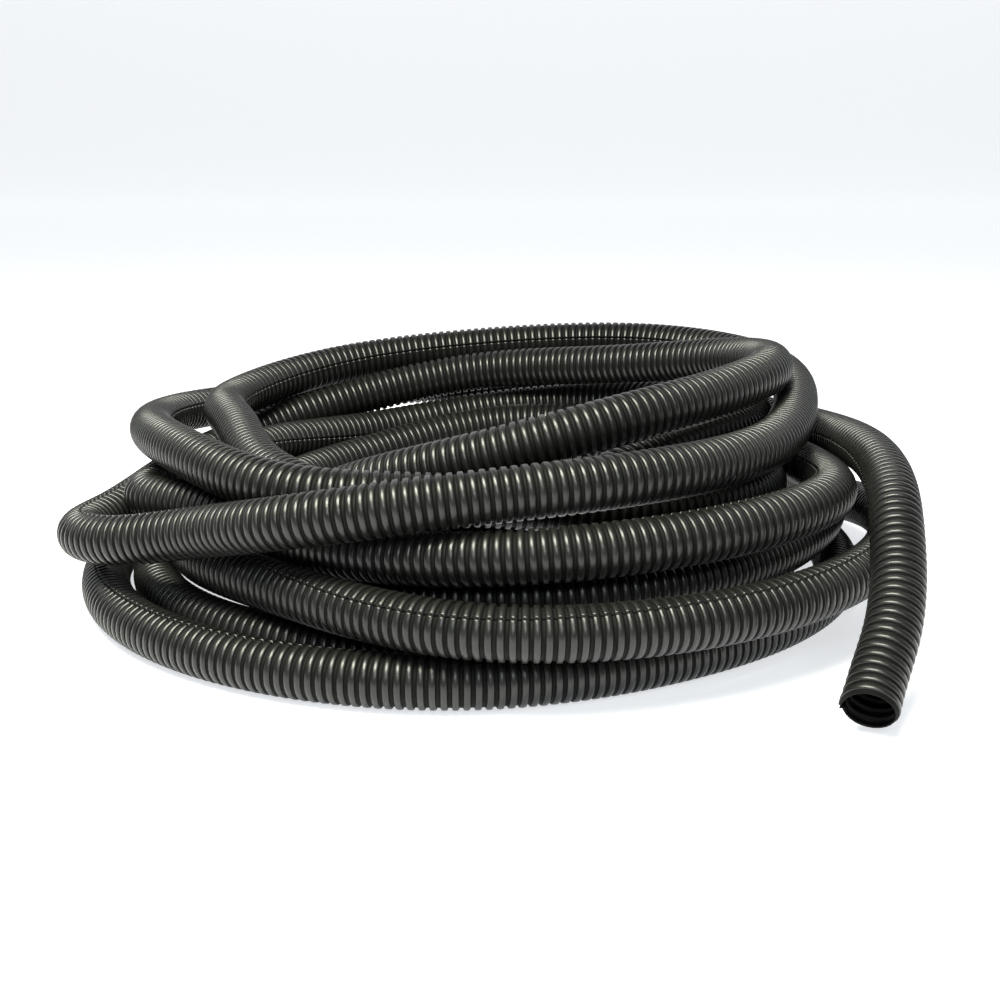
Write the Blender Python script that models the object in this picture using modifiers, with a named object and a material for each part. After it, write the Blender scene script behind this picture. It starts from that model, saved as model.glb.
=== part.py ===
"""Corrugated vacuum hose, wound by hand into a loose coil that lies on the floor.

The hose is one pipe with a bare cut at each end. It is built as lengths that meet end to end:
a straight cut length at each end and, between them, a sixth of a turn at a time, named by the
turn and by the side of the coil where it lies.
Metres, +Z up, origin on the floor under the middle of the coil. The coil's front is at -Y.
"""

import math

import bpy
import numpy as np

# The hose
OUTER_DIAMETER = 0.038  # over the ribs
BORE_DIAMETER = 0.032
SIDES_SETTING = 3  # bevel resolution: ten sides
RING_STEP = 1.15  # diameters between the rings of a length
STUB_SHARE = 0.3  # diameters of straight at each cut

# Its cut ends
END_LENGTH = 0.075
LENGTH_GAP = 0.0003  # between one length and the next

# The coil. Each turn starts at the front and runs left, back, right, seen from above.
COIL_REACH = 0.266  # from the coil's middle to a middling turn
STATIONS_PER_TURN = 12
SECTORS = ("front_right", "front", "front_left", "back_left", "back", "back_right")
FRONT = -90.0  # bearing of the front, degrees from +X

# How the turns rest against each other
POINT_STEP = 0.4  # diameters between the points of the settled route
CONTACT = 1.04  # diameters between two turns that touch
STIFFNESS = 2.5  # diameters over which the hose spreads a bend
ROUNDS = 120

# Where the hose passes, twelve times a turn: how far outside COIL_REACH, and how high, both in
# diameters. A height of 0.5 lies on the floor.
TURNS = (
    ((-0.2, 0.5), (-0.1, 0.5), (0.1, 0.5), (0.05, 0.5), (0.2, 0.5), (0.5, 0.5),
     (0.8, 0.5), (0.9, 0.5), (0.9, 0.5), (0.7, 0.5), (0.5, 0.5), (0.45, 0.5)),
    ((1.0, 0.5), (1.3, 0.5), (1.35, 0.5), (1.1, 0.5), (1.3, 0.5), (1.6, 0.5),
     (1.9, 0.5), (2.0, 0.5), (2.1, 0.7), (2.0, 1.3), (1.9, 1.5), (1.75, 1.5)),
    ((1.35, 1.5), (-0.1, 1.5), (-0.4, 1.5), (-0.5, 1.45), (-0.4, 1.4), (0.4, 1.4),
     (1.1, 1.4), (1.3, 1.4), (1.1, 1.5), (0.6, 1.5), (0.0, 1.5), (0.1, 1.55)),
    ((0.0, 1.4), (-0.85, 1.15), (-1.15, 0.95), (-1.3, 0.8), (-0.95, 0.8), (-0.4, 1.0),
     (0.0, 1.4), (0.3, 1.7), (0.4, 2.0), (0.35, 2.3), (1.1, 2.75), (0.8, 2.75)),
    ((0.3, 2.5), (-0.75, 2.15), (-0.45, 2.3), (-0.35, 2.3), (-0.9, 2.3), (-0.6, 2.0),
     (-0.1, 2.1), (0.2, 2.4), (0.0, 2.9), (-1.1, 3.3), (-2.2, 3.5), (-2.3, 3.1)),
    ((-2.1, 2.4), (-1.35, 2.7), (-1.6, 2.8), (-1.5, 2.85), (0.1, 2.75), (1.0, 3.3),
     (0.95, 3.85), (1.7, 4.05), (1.2, 4.0), (-0.1, 3.8), (-0.3, 3.7), (0.0, 3.7)),
    ((0.15, 3.45), (0.55, 2.85), (1.35, 1.95), (0.55, 1.8), (0.8, 1.7), (0.1, 2.4),
     (-0.2, 3.2), (-0.5, 3.7), (-0.2, 4.25), (-0.6, 4.6), (-1.45, 4.55), (-1.75, 4.3)),
    ((-2.05, 3.6), (-2.35, 2.8), (-2.7, 2.05), (-2.4, 1.65), (-1.9, 1.55), (-1.6, 1.7),
     (-1.2, 2.1), (-0.9, 2.2), (-0.7, 2.2), (-0.6, 2.3), (-0.7, 2.6), (-1.1, 2.8)),
    ((-1.4, 2.95), (-0.55, 2.9), (-0.4, 2.9), (0.3, 2.85), (1.75, 2.7), (1.9, 2.6),
     (2.2, 2.6), (2.7, 2.4), (1.65, 2.5), (0.9, 2.85), (2.0, 2.9)),
)
# The same between those: the turn, counted from nought, and the degrees since its start. First
# come the hidden inner end, the sharper bends on the left and, last, the way down to the mouth.
BETWEEN = (
    (0, -90.0, 0.0, 0.5), (0, -60.0, -0.2, 0.5), (0, -30.0, -0.2, 0.5),
    (4, 77.0, 0.35, 2.2),
    (6, 48.0, 0.6, 2.3), (6, 69.0, 1.65, 1.8), (6, 80.0, 1.0, 1.75),
    (8, 307.4, 2.6, 2.6), (8, 313.0, 3.2, 2.0), (8, 318.7, 3.8, 1.3), (8, 322.5, 4.15, 0.8),
    (8, 325.0, 4.45, 0.47),
)

# Materials: base colour, roughness
BLACK_PLASTIC = ((0.012, 0.012, 0.013, 1.0), 0.42)
CUT_PLASTIC = ((0.02, 0.02, 0.021, 1.0), 0.55)


def station_points():
    """The route's own points, from the hidden inner end to the open mouth."""
    rows = []
    for turn, stations in enumerate(TURNS):
        for step, (outside, height) in enumerate(stations):
            rows.append((360 * turn + step * 360 / STATIONS_PER_TURN, outside, height))
    for turn, degrees, outside, height in BETWEEN:
        rows.append((360 * turn + degrees, outside, height))
    points = []
    for swept, outside, height in sorted(rows):
        reach = COIL_REACH + outside * OUTER_DIAMETER
        angle = math.radians(FRONT - swept)
        points.append((reach * math.cos(angle), reach * math.sin(angle), height * OUTER_DIAMETER))
    return np.array(points)


def smooth_curve(knots, step):
    """Points of the natural cubic spline through the knots, about a step apart."""
    along = np.concatenate([[0], np.cumsum(np.linalg.norm(np.diff(knots, axis=0), axis=1))])
    gap = np.diff(along)
    count = len(knots)
    system = np.eye(count)
    slopes = np.diff(knots, axis=0) / gap[:, None]
    right = np.zeros_like(knots)
    for i in range(1, count - 1):
        system[i, i - 1 : i + 2] = gap[i - 1], 2 * (gap[i - 1] + gap[i]), gap[i]
        right[i] = 6 * (slopes[i] - slopes[i - 1])
    bend = np.linalg.solve(system, right)
    at = np.linspace(0, along[-1], int(along[-1] / step) + 1)
    span = np.clip(np.searchsorted(along, at, side="right") - 1, 0, count - 2)
    width = gap[span][:, None]
    after = (at - along[span])[:, None]
    before = width - after
    cubic = (bend[span] * before**3 + bend[span + 1] * after**3) / (6 * width)
    start = (knots[span] / width - bend[span] * width / 6) * before
    end = (knots[span + 1] / width - bend[span + 1] * width / 6) * after
    return cubic + start + end


def distances_along(points):
    return np.concatenate([[0], np.cumsum(np.linalg.norm(np.diff(points, axis=0), axis=1))])


def even_points(points, step):
    """The same line with its points as near to a step apart as divides it evenly."""
    along = distances_along(points)
    at = np.linspace(0, along[-1], int(round(along[-1] / step)) + 1)
    return np.stack([np.interp(at, along, points[:, axis]) for axis in range(3)], axis=1)


def neighbours(points, reach, apart):
    """Index pairs of points within reach of each other that are well apart along the hose."""
    first, second = np.triu_indices(len(points), apart)
    close = np.linalg.norm(points[first] - points[second], axis=1) < reach
    return first[close], second[close]


def settled(points):
    """The route once its turns rest on the floor and against each other.

    Where two turns are nearer than they can be, both are pushed apart. The hose answers as a
    stiff rod does, so a push at one place becomes a long low hump.
    """
    count = len(points)
    curve = np.diff(np.eye(count), 2, axis=0) / POINT_STEP**2
    give = np.linalg.inv(np.eye(count) + STIFFNESS**4 * curve.T @ curve)
    apart = CONTACT * OUTER_DIAMETER
    first, second = neighbours(points, 2.5 * apart, int(4 / POINT_STEP))
    load = np.zeros_like(points)
    rest = points
    for _ in range(ROUNDS):
        across = rest[first] - rest[second]
        distance = np.linalg.norm(across, axis=1)
        over = np.clip(apart - distance, 0, None)
        push = across * (over / distance)[:, None]
        touching = np.bincount(first, over > 0, count) + np.bincount(second, over > 0, count)
        total = np.zeros_like(points)
        for axis in range(3):
            total[:, axis] = np.bincount(first, push[:, axis], count)
            total[:, axis] -= np.bincount(second, push[:, axis], count)
        total /= np.sqrt(np.maximum(touching, 1))[:, None]
        total[:, 2] += 2 * np.clip(OUTER_DIAMETER / 2 - rest[:, 2], 0, None)
        load += 0.9 * total
        rest = points + give @ load
    return rest


def hose_route():
    """The settled route, moved so that the hose's own box stands centred over the origin."""
    knots = station_points()
    points = even_points(smooth_curve(knots, OUTER_DIAMETER / 20), POINT_STEP * OUTER_DIAMETER)
    points = settled(points)
    middle = (points.min(axis=0) + points.max(axis=0)) / 2
    floor = points[:, 2].min() - OUTER_DIAMETER / 2
    return points - (middle[0], middle[1], floor), middle


def cut_places(points, middle):
    """Each length's name and where it starts and stops along the hose."""
    along = distances_along(points)
    bearing = np.unwrap(np.arctan2(points[:, 1] + middle[1], points[:, 0] + middle[0]))
    sector_angle = 2 * math.pi / len(SECTORS)
    # Sectors are counted from the inner end, which lies on the right side
    swept = bearing[0] - bearing
    total = along[-1]
    places = [("inner_end", 0.0, END_LENGTH)]
    sector = 0
    start = END_LENGTH
    while start < total - END_LENGTH:
        reached = np.flatnonzero(swept > (sector + 1) * sector_angle)
        stop = along[reached[0]] if len(reached) else total
        sector += 1
        if stop - start < END_LENGTH / 2:
            continue
        if stop > total - 1.5 * END_LENGTH:
            stop = total - END_LENGTH
        name = f"turn_{(sector - 1) // len(SECTORS) + 1}_{SECTORS[(sector - 1) % len(SECTORS)]}"
        places.append((name, start, stop))
        start = stop
    places.append(("mouth_end", start, total))
    return places


def stretch(points, start, stop):
    """Points of the route from start to stop, half a gap short at each cut.

    A short first and last step lie along the hose's own direction at the cut, which squares the
    cut to the hose and lays it flat against the next length's.
    """
    along = distances_along(points)
    ways = np.gradient(points, along, axis=0)
    stub = STUB_SHARE * OUTER_DIAMETER
    steps = max(1, int(round((stop - start) / (RING_STEP * OUTER_DIAMETER))))
    inner = np.linspace(start, stop, steps + 1)[1:-1]
    line = [np.array([np.interp(at, along, points[:, axis]) for axis in range(3)]) for at in inner]
    for at, sign in ((start, 1), (stop, -1)):
        place = np.array([np.interp(at, along, points[:, axis]) for axis in range(3)])
        way = np.array([np.interp(at, along, ways[:, axis]) for axis in range(3)])
        way *= sign / np.linalg.norm(way)
        ends = [place + way * LENGTH_GAP / 2, place + way * stub]
        line = ends + line if sign > 0 else line + ends[::-1]
    return np.array(line)


def plastic(name, colour, roughness):
    material = bpy.data.materials.new(name)
    material.use_nodes = True
    shader = material.node_tree.nodes["Principled BSDF"]
    shader.inputs["Base Color"].default_value = colour
    shader.inputs["Roughness"].default_value = roughness
    shader.inputs["Metallic"].default_value = 0.0
    return material


def pipe(name, line, material, collection):
    """A hollow length of hose along a line of points, open at both ends."""
    curve = bpy.data.curves.new(name + "_guide", "CURVE")
    curve.dimensions = "3D"
    curve.bevel_depth = OUTER_DIAMETER / 2
    curve.bevel_resolution = SIDES_SETTING
    curve.use_fill_caps = False
    spline = curve.splines.new("POLY")
    spline.points.add(len(line) - 1)
    for point, place in zip(spline.points, line):
        point.co = (*place, 1.0)
    guide = bpy.data.objects.new(name + "_guide", curve)
    bpy.context.scene.collection.objects.link(guide)
    evaluated = guide.evaluated_get(bpy.context.evaluated_depsgraph_get())
    mesh = bpy.data.meshes.new_from_object(evaluated)
    bpy.data.objects.remove(guide)
    mesh.name = name
    mesh.materials.clear()
    mesh.materials.append(material)
    mesh.shade_smooth()
    piece = bpy.data.objects.new(name, mesh)
    collection.objects.link(piece)
    wall = piece.modifiers.new("wall", "SOLIDIFY")
    wall.thickness = (OUTER_DIAMETER - BORE_DIAMETER) / 2
    wall.offset = -1.0
    wall.use_even_offset = True
    return piece


def clear_scene():
    for thing in list(bpy.data.objects):
        bpy.data.objects.remove(thing)


def main():
    clear_scene()
    collection = bpy.data.collections.new("vacuum_hose")
    bpy.context.scene.collection.children.link(collection)
    points, middle = hose_route()
    for name, start, stop in cut_places(points, middle):
        material = plastic(name, *(CUT_PLASTIC if name.endswith("_end") else BLACK_PLASTIC))
        pipe(name, stretch(points, start, stop), material, collection)


main()
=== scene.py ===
"""The looks of the corrugated vacuum hose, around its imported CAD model.

The hose is one long corrugated tube of black plastic with a slit along its whole length, wound by
hand into a loose coil. It is meshed along the settled route that the CAD model follows, in twelve
lengths that meet end to end. Metres, +Z up, in the CAD model's own frame.
"""

import math

import bpy
import numpy as np
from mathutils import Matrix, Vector


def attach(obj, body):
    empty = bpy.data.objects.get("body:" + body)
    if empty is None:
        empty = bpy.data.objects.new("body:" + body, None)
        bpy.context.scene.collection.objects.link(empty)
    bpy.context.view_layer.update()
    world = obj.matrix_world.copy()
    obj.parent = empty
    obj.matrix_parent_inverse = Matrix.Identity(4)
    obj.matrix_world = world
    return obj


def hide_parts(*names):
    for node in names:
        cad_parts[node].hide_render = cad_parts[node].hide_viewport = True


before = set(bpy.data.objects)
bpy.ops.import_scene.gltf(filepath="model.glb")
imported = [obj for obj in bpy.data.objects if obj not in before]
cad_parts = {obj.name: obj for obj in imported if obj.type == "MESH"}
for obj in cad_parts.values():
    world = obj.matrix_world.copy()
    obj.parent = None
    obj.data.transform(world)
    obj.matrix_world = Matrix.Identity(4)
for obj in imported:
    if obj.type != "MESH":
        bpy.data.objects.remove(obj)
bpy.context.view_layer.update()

# The route, as the CAD model has it
OUTER_DIAMETER = 0.038  # over the ribs
COIL_REACH = 0.266  # from the coil's middle to a middling turn
STATIONS_PER_TURN = 12
FRONT = -90.0  # bearing of the front, degrees from +X
POINT_STEP = 0.4  # diameters between the points of the settled route
CONTACT = 1.04  # diameters between two turns that touch
STIFFNESS = 2.5  # diameters over which the hose spreads a bend
ROUNDS = 120  # of pushing the turns apart
PUSH_SHARE = 0.9  # of an overlap, in one round
CONTACT_SEARCH = 2.5  # contacts between two points that may come to touch
OWN_LENGTH = 4  # diameters along the hose within which it can't touch itself
# Its lengths in the CAD model, a sixth of a turn at a time with a straight one at each end
SECTORS = ("front_right", "front", "front_left", "back_left", "back", "back_right")
END_LENGTH = 0.075

# Where the hose passes, twelve times a turn: how far outside COIL_REACH, and how high, both in
# diameters. A height of 0.5 lies on the floor.
TURNS = (
    ((-0.2, 0.5), (-0.1, 0.5), (0.1, 0.5), (0.05, 0.5), (0.2, 0.5), (0.5, 0.5),
     (0.8, 0.5), (0.9, 0.5), (0.9, 0.5), (0.7, 0.5), (0.5, 0.5), (0.45, 0.5)),
    ((1.0, 0.5), (1.3, 0.5), (1.35, 0.5), (1.1, 0.5), (1.3, 0.5), (1.6, 0.5),
     (1.9, 0.5), (2.0, 0.5), (2.1, 0.7), (2.0, 1.3), (1.9, 1.5), (1.75, 1.5)),
    ((1.35, 1.5), (-0.1, 1.5), (-0.4, 1.5), (-0.5, 1.45), (-0.4, 1.4), (0.4, 1.4),
     (1.1, 1.4), (1.3, 1.4), (1.1, 1.5), (0.6, 1.5), (0.0, 1.5), (0.1, 1.55)),
    ((0.0, 1.4), (-0.85, 1.15), (-1.15, 0.95), (-1.3, 0.8), (-0.95, 0.8), (-0.4, 1.0),
     (0.0, 1.4), (0.3, 1.7), (0.4, 2.0), (0.35, 2.3), (1.1, 2.75), (0.8, 2.75)),
    ((0.3, 2.5), (-0.75, 2.15), (-0.45, 2.3), (-0.35, 2.3), (-0.9, 2.3), (-0.6, 2.0),
     (-0.1, 2.1), (0.2, 2.4), (0.0, 2.9), (-1.1, 3.3), (-2.2, 3.5), (-2.3, 3.1)),
    ((-2.1, 2.4), (-1.35, 2.7), (-1.6, 2.8), (-1.5, 2.85), (0.1, 2.75), (1.0, 3.3),
     (0.95, 3.85), (1.7, 4.05), (1.2, 4.0), (-0.1, 3.8), (-0.3, 3.7), (0.0, 3.7)),
    ((0.15, 3.45), (0.55, 2.85), (1.35, 1.95), (0.55, 1.8), (0.8, 1.7), (0.1, 2.4),
     (-0.2, 3.2), (-0.5, 3.7), (-0.2, 4.25), (-0.6, 4.6), (-1.45, 4.55), (-1.75, 4.3)),
    ((-2.05, 3.6), (-2.35, 2.8), (-2.7, 2.05), (-2.4, 1.65), (-1.9, 1.55), (-1.6, 1.7),
     (-1.2, 2.1), (-0.9, 2.2), (-0.7, 2.2), (-0.6, 2.3), (-0.7, 2.6), (-1.1, 2.8)),
    ((-1.4, 2.95), (-0.55, 2.9), (-0.4, 2.9), (0.3, 2.85), (1.75, 2.7), (1.9, 2.6),
     (2.2, 2.6), (2.7, 2.4), (1.65, 2.5), (0.9, 2.85), (2.0, 2.9)),
)
# The same between those: the turn, counted from nought, and the degrees since its start. First
# come the hidden inner end, the sharper bends on the left and, last, the way down to the mouth.
BETWEEN = (
    (0, -90.0, 0.0, 0.5), (0, -60.0, -0.2, 0.5), (0, -30.0, -0.2, 0.5),
    (4, 77.0, 0.35, 2.2),
    (6, 48.0, 0.6, 2.3), (6, 69.0, 1.65, 1.8), (6, 80.0, 1.0, 1.75),
    (8, 307.4, 2.6, 2.6), (8, 313.0, 3.2, 2.0), (8, 318.7, 3.8, 1.3), (8, 322.5, 4.15, 0.8),
    (8, 325.0, 4.45, 0.47),
)

# The corrugated wall
RIB_PITCH = 0.0072
WALL = 0.0009
GROOVE_DEPTH = 0.0019
# One rib, as how far along its pitch and how deep in the groove, from 0 on the crest to 1
RIB = ((0.0, 0.45), (0.06, 0.08), (0.29, 0.0), (0.52, 0.08), (0.58, 0.45), (0.64, 1.0), (0.94, 1.0))
COLUMNS = 30
HOSE_LENGTHS = 12
LINER_LENGTH = 0.16  # how far the inside is meshed behind each open end

# The slit, as angles to each side of its middle: its edge, and the outer foot of its lip
SLIT_HALF = math.radians(0.8)
LIP_HALF = math.radians(6.0)
LIP_START = 1.6  # where a lip stands highest, in half widths of the slit
LIP_HEIGHT = 0.0002
SLIT_DEPTH = 0.0024
# Where the slit runs: degrees wound since the front of the first turn, and degrees round the
# hose from its top towards the coil's outside
SLIT_ROUTE = (
    (-90.0, -40.0), (340.0, -40.0), (405.0, 10.0), (440.0, 25.0), (560.0, 25.0), (660.0, 12.0),
    (690.0, 25.0), (730.0, 46.0), (790.0, -20.0), (1000.0, -80.0), (1340.0, -60.0), (1420.0, -10.0),
    (1440.0, -2.0), (1500.0, -30.0), (1600.0, -90.0), (2100.0, -70.0), (2190.0, -8.0),
    (2230.0, 0.0), (2330.0, 60.0), (2460.0, 140.0), (2495.0, 140.0), (2700.0, 230.0),
    (3050.0, 300.0), (3170.0, 275.0), (3206.0, 262.0),
)
# The cut mouth: one lip of the slit springs out over the last stretch
FLAP_LENGTH = 0.022
FLAP_RISE = 0.0022
FLAP_HALF = math.radians(38.0)

# The material: most of a noise texture's values lie between these
NOISE_SPAN = (0.35, 0.65)
CLOUD_SPAN = (0.3, 0.7)

# The camera, before the coil is moved to the origin: place, degrees up from straight down, lens
CAMERA_PLACE = (0.0152, -1.2084, 0.3849)
CAMERA_TILT = 75.0
LENS = 52.5
SENSOR_WIDTH = 36.0


def station_points():
    """The route's own points, from the hidden inner end to the open mouth."""
    rows = []
    for turn, stations in enumerate(TURNS):
        for step, (outside, height) in enumerate(stations):
            rows.append((360 * turn + step * 360 / STATIONS_PER_TURN, outside, height))
    for turn, degrees, outside, height in BETWEEN:
        rows.append((360 * turn + degrees, outside, height))
    points = []
    for swept, outside, height in sorted(rows):
        reach = COIL_REACH + outside * OUTER_DIAMETER
        angle = math.radians(FRONT - swept)
        points.append((reach * math.cos(angle), reach * math.sin(angle), height * OUTER_DIAMETER))
    return np.array(points)


def smooth_curve(knots, step):
    """Points of the natural cubic spline through the knots, about a step apart."""
    along = distances_along(knots)
    gap = np.diff(along)
    count = len(knots)
    system = np.eye(count)
    slopes = np.diff(knots, axis=0) / gap[:, None]
    right = np.zeros_like(knots)
    for i in range(1, count - 1):
        system[i, i - 1 : i + 2] = gap[i - 1], 2 * (gap[i - 1] + gap[i]), gap[i]
        right[i] = 6 * (slopes[i] - slopes[i - 1])
    bend = np.linalg.solve(system, right)
    at = np.linspace(0, along[-1], int(along[-1] / step) + 1)
    span = np.clip(np.searchsorted(along, at, side="right") - 1, 0, count - 2)
    width = gap[span][:, None]
    after = (at - along[span])[:, None]
    before = width - after
    cubic = (bend[span] * before**3 + bend[span + 1] * after**3) / (6 * width)
    start = (knots[span] / width - bend[span] * width / 6) * before
    end = (knots[span + 1] / width - bend[span + 1] * width / 6) * after
    return cubic + start + end


def distances_along(points):
    """Distance of each point from the first, along the line through them."""
    return np.concatenate([[0], np.cumsum(np.linalg.norm(np.diff(points, axis=0), axis=1))])


def even_points(points, step):
    """The same line with its points as near to a step apart as divides it evenly."""
    along = distances_along(points)
    at = np.linspace(0, along[-1], int(round(along[-1] / step)) + 1)
    return np.stack([np.interp(at, along, points[:, axis]) for axis in range(3)], axis=1)


def neighbours(points, reach, apart):
    """Index pairs of points within reach of each other that are well apart along the hose."""
    first, second = np.triu_indices(len(points), apart)
    close = np.linalg.norm(points[first] - points[second], axis=1) < reach
    return first[close], second[close]


def settled(points):
    """The route once its turns rest on the floor and against each other.

    Where two turns are nearer than they can be, both are pushed apart. The hose answers as a
    stiff rod does, so a push at one place becomes a long low hump.
    """
    count = len(points)
    curve = np.diff(np.eye(count), 2, axis=0) / POINT_STEP**2
    give = np.linalg.inv(np.eye(count) + STIFFNESS**4 * curve.T @ curve)
    apart = CONTACT * OUTER_DIAMETER
    first, second = neighbours(points, CONTACT_SEARCH * apart, int(OWN_LENGTH / POINT_STEP))
    load = np.zeros_like(points)
    rest = points
    for _ in range(ROUNDS):
        across = rest[first] - rest[second]
        distance = np.linalg.norm(across, axis=1)
        over = np.clip(apart - distance, 0, None)
        push = across * (over / distance)[:, None]
        touching = np.bincount(first, over > 0, count) + np.bincount(second, over > 0, count)
        total = np.zeros_like(points)
        for axis in range(3):
            total[:, axis] = np.bincount(first, push[:, axis], count)
            total[:, axis] -= np.bincount(second, push[:, axis], count)
        total /= np.sqrt(np.maximum(touching, 1))[:, None]
        total[:, 2] += 2 * np.clip(OUTER_DIAMETER / 2 - rest[:, 2], 0, None)
        load += PUSH_SHARE * total
        rest = points + give @ load
    return rest


def hose_route():
    """The settled route, moved so that the hose's own box stands centred over the origin."""
    knots = station_points()
    points = even_points(smooth_curve(knots, OUTER_DIAMETER / 20), POINT_STEP * OUTER_DIAMETER)
    points = settled(points)
    middle = (points.min(axis=0) + points.max(axis=0)) / 2
    floor = points[:, 2].min() - OUTER_DIAMETER / 2
    return points - (middle[0], middle[1], floor), middle


def cut_places(points, middle):
    """Each length's name and where it starts and stops along the hose."""
    along = distances_along(points)
    bearing = np.unwrap(np.arctan2(points[:, 1] + middle[1], points[:, 0] + middle[0]))
    sector_angle = 2 * math.pi / len(SECTORS)
    # Sectors are counted from the inner end, which lies on the right side
    swept = bearing[0] - bearing
    total = along[-1]
    places = [("inner_end", 0.0, END_LENGTH)]
    sector = 0
    start = END_LENGTH
    while start < total - END_LENGTH:
        reached = np.flatnonzero(swept > (sector + 1) * sector_angle)
        stop = along[reached[0]] if len(reached) else total
        sector += 1
        if stop - start < END_LENGTH / 2:
            continue
        if stop > total - 1.5 * END_LENGTH:
            stop = total - END_LENGTH
        name = f"turn_{(sector - 1) // len(SECTORS) + 1}_{SECTORS[(sector - 1) % len(SECTORS)]}"
        places.append((name, start, stop))
        start = stop
    places.append(("mouth_end", start, total))
    return places


def unit(vectors):
    return vectors / np.linalg.norm(vectors, axis=-1, keepdims=True)


def at_distance(table, along, where):
    """Rows of a table, one for each point of the route, at other distances along it."""
    return np.stack([np.interp(where, along, column) for column in table.T], axis=1)


def ring_places(total):
    """Distance along the hose and depth of groove of each ring of the outer wall."""
    count = int(total / RIB_PITCH)
    pitch = total / count
    starts = np.arange(count)[:, None] * pitch
    share = np.array([row[0] for row in RIB])
    depth = np.array([row[1] for row in RIB])
    where = (starts + share * pitch).ravel()
    return where, np.tile(depth, count), count


def column_angles():
    """Angles round the hose from the slit, closer together beside it."""
    halves = np.array([SLIT_HALF, SLIT_HALF * LIP_START, LIP_HALF])
    beside = np.concatenate([-halves[::-1], halves])
    rest = np.linspace(LIP_HALF, 2 * math.pi - LIP_HALF, COLUMNS - len(beside) + 2)[1:-1]
    return np.concatenate([beside, rest])


def wall_radius(angles, depth, to_mouth, inset):
    """Radius at each ring and column: the ribs, the slit and its lips, and the sprung flap."""
    radius = np.full((len(depth), len(angles)), OUTER_DIAMETER / 2 - inset)
    radius -= (GROOVE_DEPTH * depth)[:, None]
    across = np.abs(angles)
    in_slit = across < SLIT_HALF * (1 + LIP_START) / 2
    radius[:, ~in_slit & (across < (SLIT_HALF + LIP_HALF) / 2)] += LIP_HEIGHT
    radius[:, in_slit] -= SLIT_DEPTH
    near = np.clip(1 - to_mouth / FLAP_LENGTH, 0, 1) ** 2
    round_about = np.where(angles > 0, np.clip(1 - angles / FLAP_HALF, 0, 1), 0)
    return radius + FLAP_RISE * near[:, None] * round_about[None, :]


def tube_points(route, where, radius, angles, roll):
    """Points of a tube's rings, one row of them for each place along the route."""
    place, way = route(where)
    side = unit(np.cross((0.0, 0.0, 1.0), way))
    top = np.cross(way, side)
    angle = angles[None, :] + roll[:, None]
    across = np.sin(angle)[..., None] * side[:, None] + np.cos(angle)[..., None] * top[:, None]
    return place[:, None] + radius[..., None] * across


def tube_faces(rings, columns, first=0, inward=False):
    """Four-sided faces joining each ring to the next, facing out unless told otherwise."""
    ring, column = np.meshgrid(np.arange(rings - 1), np.arange(columns), indexing="ij")
    here = first + ring * columns + column
    beside = first + ring * columns + (column + 1) % columns
    corners = [here, beside, beside + columns, here + columns]
    if not inward:
        corners = corners[::-1]
    return np.stack(corners, axis=-1).reshape(-1, 4)


def mesh_object(name, points, faces, *materials):
    mesh = bpy.data.meshes.new(name)
    mesh.vertices.add(len(points))
    mesh.vertices.foreach_set("co", points.astype(np.float32).ravel())
    mesh.loops.add(faces.size)
    mesh.loops.foreach_set("vertex_index", faces.astype(np.int32).ravel())
    mesh.polygons.add(len(faces))
    mesh.polygons.foreach_set("loop_start", np.arange(0, faces.size, 4, dtype=np.int32))
    mesh.update(calc_edges=True)
    mesh.validate()
    mesh.shade_smooth()
    for material in materials:
        mesh.materials.append(material)
    piece = bpy.data.objects.new(name, mesh)
    bpy.context.scene.collection.objects.link(piece)
    return piece


def hose_frames(points, middle):
    """A function giving place and direction at distances along the hose, and a table of degrees
    wound against distance."""
    along = distances_along(points)
    # A smooth line through the settled points, finer than one rib
    fine = even_points(smooth_curve(points, OUTER_DIAMETER / 20), RIB_PITCH / 4)
    line = distances_along(fine)
    line *= along[-1] / line[-1]
    ways = unit(np.gradient(fine, line, axis=0))
    bearing = np.unwrap(np.arctan2(fine[:, 1] + middle[1], fine[:, 0] + middle[0]))
    inner_end = BETWEEN[0][1]
    wound = inner_end + np.degrees(bearing[0] - bearing)

    def route(where):
        return at_distance(fine, line, where), unit(at_distance(ways, line, where))

    return route, line, wound


def slit_roll(wound):
    """Degrees from the hose's top to its slit, easing from each row of SLIT_ROUTE to the next."""
    at = np.array([row[0] for row in SLIT_ROUTE])
    turn = np.array([row[1] for row in SLIT_ROUTE])
    index = np.clip(np.searchsorted(at, wound, side="right") - 1, 0, len(at) - 2)
    share = np.clip((wound - at[index]) / (at[index + 1] - at[index]), 0, 1)
    ease = share * share * (3 - 2 * share)
    return turn[index] + (turn[index + 1] - turn[index]) * ease


def noise_node(nodes, links, coordinate, scale, detail):
    noise = nodes.new("ShaderNodeTexNoise")
    noise.inputs["Scale"].default_value = scale
    noise.inputs["Detail"].default_value = detail
    links.new(coordinate.outputs["Object"], noise.inputs["Vector"])
    return noise


def range_node(nodes, links, source, low, high):
    """Noise spread out to run from low to high."""
    spread = nodes.new("ShaderNodeMapRange")
    spread.inputs["From Min"].default_value = NOISE_SPAN[0]
    spread.inputs["From Max"].default_value = NOISE_SPAN[1]
    spread.inputs["To Min"].default_value = low
    spread.inputs["To Max"].default_value = high
    links.new(source, spread.inputs["Value"])
    return spread


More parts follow.
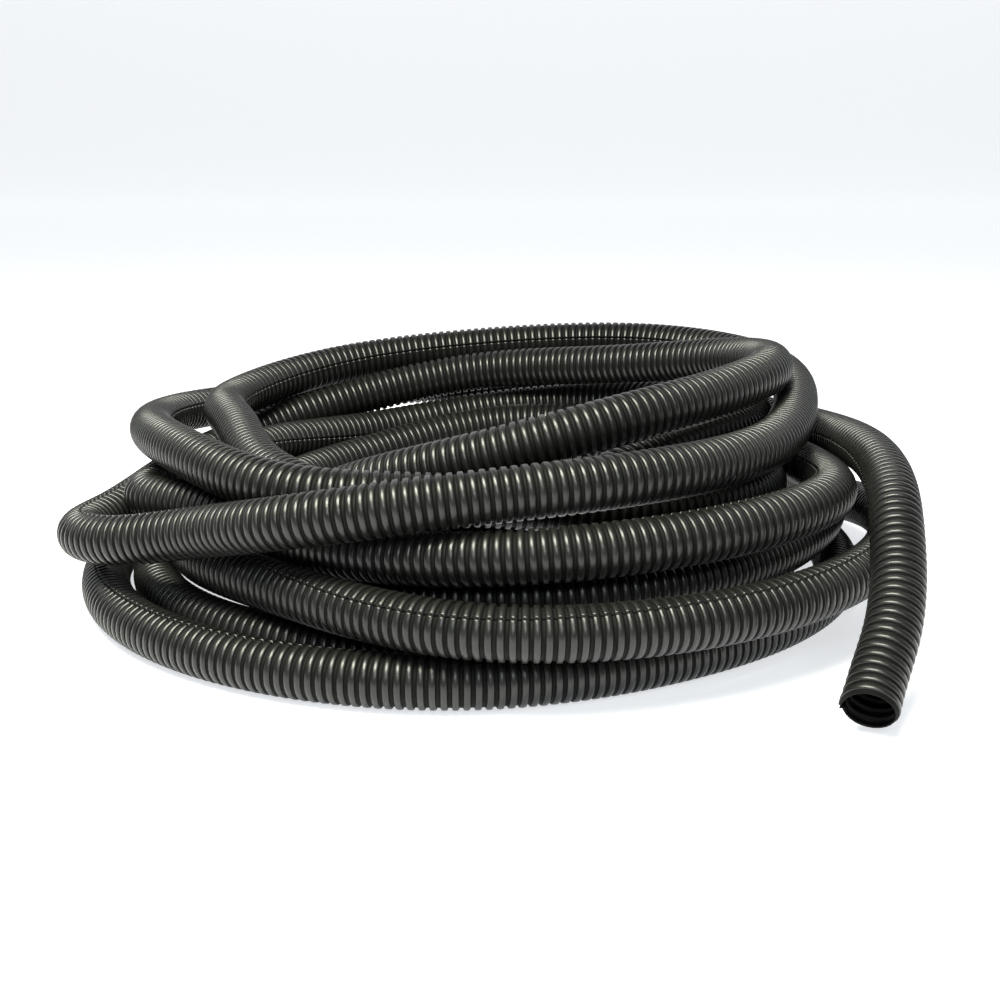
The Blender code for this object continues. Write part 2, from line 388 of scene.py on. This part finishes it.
def black_polythene(name, dark, light, gloss, dull):
    """Black extruded polythene: satin, faintly cloudy, with handling marks and fine grain."""
    material = bpy.data.materials.new(name)
    material.use_nodes = True
    nodes = material.node_tree.nodes
    links = material.node_tree.links
    shader = nodes["Principled BSDF"]
    shader.inputs["IOR"].default_value = 1.52
    shader.inputs["Metallic"].default_value = 0.0
    coordinate = nodes.new("ShaderNodeTexCoord")
    cloud = noise_node(nodes, links, coordinate, scale=9.0, detail=3.0)
    colour = nodes.new("ShaderNodeValToRGB")
    for stop, position, shade in zip(colour.color_ramp.elements, CLOUD_SPAN, (dark, light)):
        stop.position = position
        stop.color = (*shade, 1.0)
    links.new(cloud.outputs["Fac"], colour.inputs["Fac"])
    links.new(colour.outputs["Color"], shader.inputs["Base Color"])
    smear = noise_node(nodes, links, coordinate, scale=42.0, detail=4.0)
    roughness = range_node(nodes, links, smear.outputs["Fac"], gloss, dull)
    links.new(roughness.outputs["Result"], shader.inputs["Roughness"])
    grain = noise_node(nodes, links, coordinate, scale=1400.0, detail=2.0)
    bump = nodes.new("ShaderNodeBump")
    bump.inputs["Strength"].default_value = 0.12
    bump.inputs["Distance"].default_value = 0.0002
    links.new(grain.outputs["Fac"], bump.inputs["Height"])
    links.new(bump.outputs["Normal"], shader.inputs["Normal"])
    return material


def plain_material(name, colour, roughness):
    material = bpy.data.materials.new(name)
    material.use_nodes = True
    shader = material.node_tree.nodes["Principled BSDF"]
    shader.inputs["Base Color"].default_value = colour
    shader.inputs["Roughness"].default_value = roughness
    return material


def rim_faces(outer, inner, columns, at_mouth):
    """The cut rim: faces joining a ring of the outer wall, by its first point, to one inside."""
    column = np.arange(columns)
    beside = (column + 1) % columns
    corners = [outer + column, outer + beside, inner + beside, inner + column]
    if at_mouth:
        corners = corners[::-1]
    return np.stack(corners, axis=-1)


def hose_lengths(points, middle, crest, groove_painted_shade):
    """The hose as meshes that meet end to end, each with where it starts and stops along it."""
    route, line, wound = hose_frames(points, middle)
    total = line[-1]
    where, depth, ribs = ring_places(total)
    angles = column_angles()
    columns = len(angles)
    roll = np.radians(slit_roll(np.interp(where, line, wound)))
    outer = wall_radius(angles, depth, total - where, 0.0)
    inner = wall_radius(angles, depth, total - where, WALL)
    shell = tube_points(route, where, outer, angles, roll)
    made = []
    cuts = np.linspace(0, ribs, HOSE_LENGTHS + 1).astype(int) * len(RIB)
    liner = int(LINER_LENGTH / RIB_PITCH) * len(RIB)
    for number, (start, stop) in enumerate(zip(cuts[:-1], cuts[1:]), start=1):
        first = number == 1
        last = number == HOSE_LENGTHS
        # Each length takes the next one's first ring too
        end = stop if last else stop + 1
        blocks = [shell[start:end].reshape(-1, 3)]
        faces = [tube_faces(end - start, columns)]
        count = (end - start) * columns
        if first or last:
            rows = slice(end - liner, end) if last else slice(start, start + liner)
            inside = tube_points(route, where[rows], inner[rows], angles, roll[rows])
            blocks.append(inside.reshape(-1, 3))
            faces.append(tube_faces(liner, columns, count, inward=True))
            outer_ring = count - columns if last else 0
            inner_ring = count + (liner - 1) * columns if last else count
            faces.append(rim_faces(outer_ring, inner_ring, columns, last))
        faces = np.concatenate(faces)
        piece = mesh_object(f"hose_length_{number}", np.concatenate(blocks), faces, crest, groove_painted_shade)
        # The grooves and the inside take the second material, rougher and with painted shade: a darker
        # colour and a weaker reflection
        dull = np.ones(len(faces), np.int32)
        low = depth[start : end - 1] + depth[start + 1 : end] > 1
        dull[: len(low) * columns] = np.repeat(low, columns)
        piece.data.polygons.foreach_set("material_index", dull)
        made.append((piece, where[start], where[end - 1]))
    return made, route


def declare(made, route, points, middle):
    """Each length rides on the root body and replaces CAD nodes."""
    places = cut_places(points, middle)
    for number, (piece, start, stop) in enumerate(made, start=1):
        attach(piece, "root")
        steps = int((stop - start) / (OUTER_DIAMETER * POINT_STEP)) + 1
        path, _ = route(np.linspace(start, stop, steps + 1))
        # A CAD length belongs to the piece that its middle lies in
        limit = math.inf if number == len(made) else stop
        inside = [name for name, low, high in places if start <= (low + high) / 2 < limit]
        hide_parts(*inside)


def add_floor():
    """A pale sweep: flat under the coil and curving up far behind it."""
    width = 40.0
    near = -20.0
    back = 5.0
    bend = 1.6
    top = 7.0
    steps = 12
    profile = [(near, 0.0), (back, 0.0)]
    for step in range(1, steps + 1):
        angle = math.radians(90 * step / steps)
        profile.append((back + bend * math.sin(angle), bend * (1 - math.cos(angle))))
    profile.append((back + bend, top))
    points = np.array([(side * width / 2, y, z) for y, z in profile for side in (-1, 1)])
    low = np.arange(len(profile) - 1) * 2
    faces = np.stack([low, low + 1, low + 3, low + 2], axis=-1)
    pale = plain_material("pale_floor", (0.56, 0.57, 0.59, 1.0), 0.9)
    shader = pale.node_tree.nodes["Principled BSDF"]
    shader.inputs["Emission Color"].default_value = (0.96, 0.98, 1.0, 1.0)
    shader.inputs["Emission Strength"].default_value = 0.68
    floor = mesh_object("floor", points, faces, pale)


def add_light(name, place, size, power, colour):
    """A soft box that faces the middle of the coil."""
    aim = (0.0, 0.0, 0.1)
    light = bpy.data.lights.new(name, "AREA")
    light.shape = "RECTANGLE"
    light.size, light.size_y = size
    light.energy = power
    light.color = colour
    lamp = bpy.data.objects.new(name, light)
    bpy.context.scene.collection.objects.link(lamp)
    lamp.location = place
    way = Vector(aim) - Vector(place)
    lamp.rotation_euler = way.to_track_quat("-Z", "Y").to_euler()


def add_studio():
    world = bpy.data.worlds.new("studio")
    bpy.context.scene.world = world
    world.use_nodes = True
    background = world.node_tree.nodes["Background"]
    background.inputs["Color"].default_value = (0.93, 0.96, 1.0, 1.0)
    background.inputs["Strength"].default_value = 0.14
    add_light("key", place=(-0.35, -0.65, 1.6), size=(1.2, 0.7), power=80.0, colour=(1.0, 0.995, 0.85))
    add_light("front", place=(0.1, -1.9, 1.35), size=(1.6, 0.4), power=17.0, colour=(0.9, 0.95, 1.0))


def add_camera(middle):
    """The photograph's view: fifteen degrees down from 1.2 m in front of the coil's middle."""
    camera = bpy.data.cameras.new("camera")
    camera.sensor_width = SENSOR_WIDTH
    camera.lens = LENS
    viewer = bpy.data.objects.new("camera", camera)
    bpy.context.scene.collection.objects.link(viewer)
    across, forward, up = CAMERA_PLACE
    viewer.location = (across - middle[0], forward - middle[1], up)
    viewer.rotation_euler = (math.radians(CAMERA_TILT), 0.0, 0.0)
    bpy.context.scene.camera = viewer


def main():
    bpy.context.scene.view_settings.view_transform = "Standard"
    points, middle = hose_route()
    crest = black_polythene(
        "rib_crests", dark=(0.0045, 0.005, 0.0042), light=(0.009, 0.0095, 0.008), gloss=0.31, dull=0.38
    )
    # A shaded copy of the crest material for the grooves and the inside: painted shade as a darker
    # colour and a weaker reflection, and rougher
    groove_painted_shade = black_polythene(
        "rib_grooves_painted_shade", dark=(0.002, 0.002, 0.002), light=(0.004, 0.004, 0.0038), gloss=0.55, dull=0.7
    )
    groove_painted_shade.node_tree.nodes["Principled BSDF"].inputs["Specular IOR Level"].default_value = 0.12
    made, route = hose_lengths(points, middle, crest, groove_painted_shade)
    declare(made, route, points, middle)
    add_floor()
    add_studio()
    add_camera(middle)


main()
